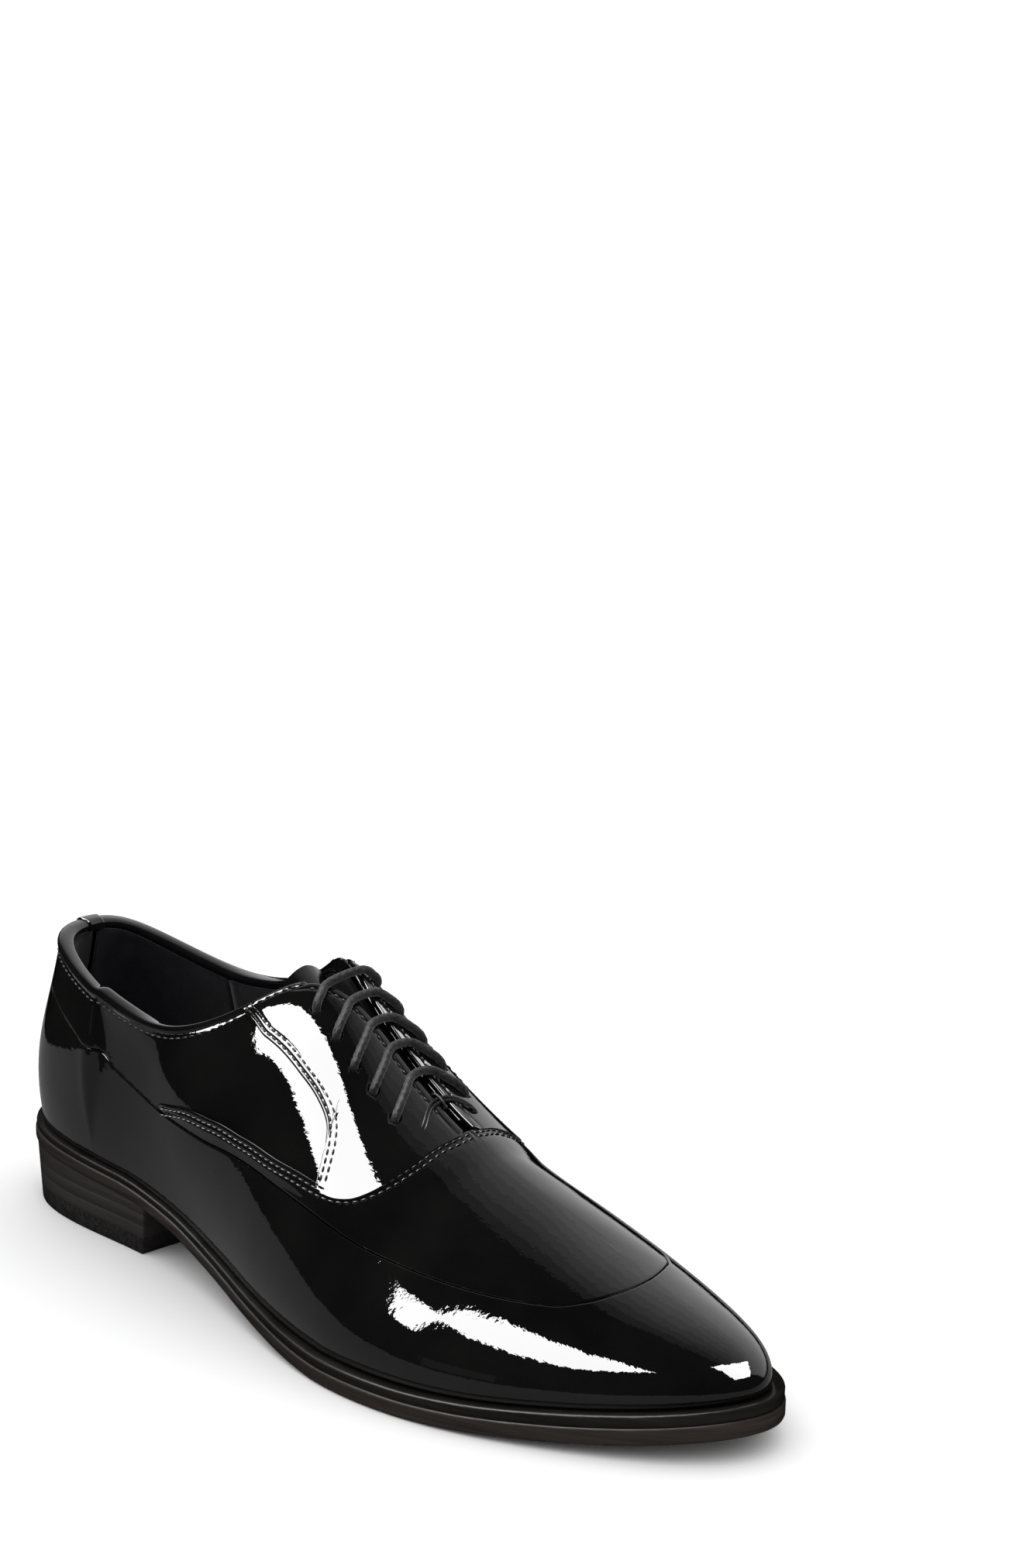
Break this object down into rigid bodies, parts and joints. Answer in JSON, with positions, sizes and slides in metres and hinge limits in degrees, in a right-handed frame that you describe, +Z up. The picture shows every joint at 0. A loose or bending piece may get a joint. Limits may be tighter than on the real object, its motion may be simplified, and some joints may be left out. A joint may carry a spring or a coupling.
{
  "type": "leather oxford shoe",
  "caption": "Right-foot lace-up oxford shoe in black patent leather, with closed facings, apron vamp, welted sole and low stacked heel.",
  "frame": {"origin": "centre of the bounding box at floor level", "axes": "+X from heel to toe, +Y to the medial (inner) side, +Z up from the floor"},
  "size_m": [0.2992, 0.1041, 0.0979],
  "materials": {
    "patent": "gloss",
    "lining": "suede",
    "board": "matt fibre board",
    "cork": "matt",
    "steel": "satin",
    "sole_edge": "satin",
    "welt": "satin",
    "heel_rubber": "matt",
    "heel_stack": "satin",
    "lace": "waxed braid",
    "thread": "waxed",
    "eyelet": "black lacquer",
    "aglet": "satin"
  },
  "bodies": {
    "shoe": {"outsole": "sole_edge", "welt": "welt", "cork_filler": "cork", "shank": "steel", "insole_board": "board", "sock_lining": "lining", "heel_top_piece": "heel_rubber", "heel_lift_1": "heel_stack", "heel_lift_2": "heel_stack", "heel_base": "heel_stack", "foxing": "patent", "vamp": "patent", "backstay": "patent", "topline_binding": "patent", "heel_counter": "board", "toe_puff": "board", "heel_grip_lining": "lining", "vamp_lining": "lining", "throat_tack": "thread", "lace_tail_lateral": "lace", "lace_tail_medial": "lace", "aglet_lateral": "aglet", "aglet_medial": "aglet", "lace": "lace", "quarter_lateral": "patent", "facing_lateral": "patent", "facing_stay_lateral": "board", "quarter_lining_lateral": "lining", "eyelet_lateral_1": "eyelet", "eyelet_lateral_2": "eyelet", "eyelet_lateral_3": "eyelet", "eyelet_lateral_4": "eyelet", "eyelet_lateral_5": "eyelet", "quarter_medial": "patent", "facing_medial": "patent", "facing_stay_medial": "board", "quarter_lining_medial": "lining", "eyelet_medial_1": "eyelet", "eyelet_medial_2": "eyelet", "eyelet_medial_3": "eyelet", "eyelet_medial_4": "eyelet", "eyelet_medial_5": "eyelet"},
    "tongue": {"tongue": "patent"}
  },
  "joints": [
    {"name": "tongue_hinge", "type": "hinge", "parent": "shoe", "child": "tongue", "pos_m": [0.0397, 0.0059, 0.046], "axis": [0, 1, 0], "range_deg": [-15, 0]}
  ]
}
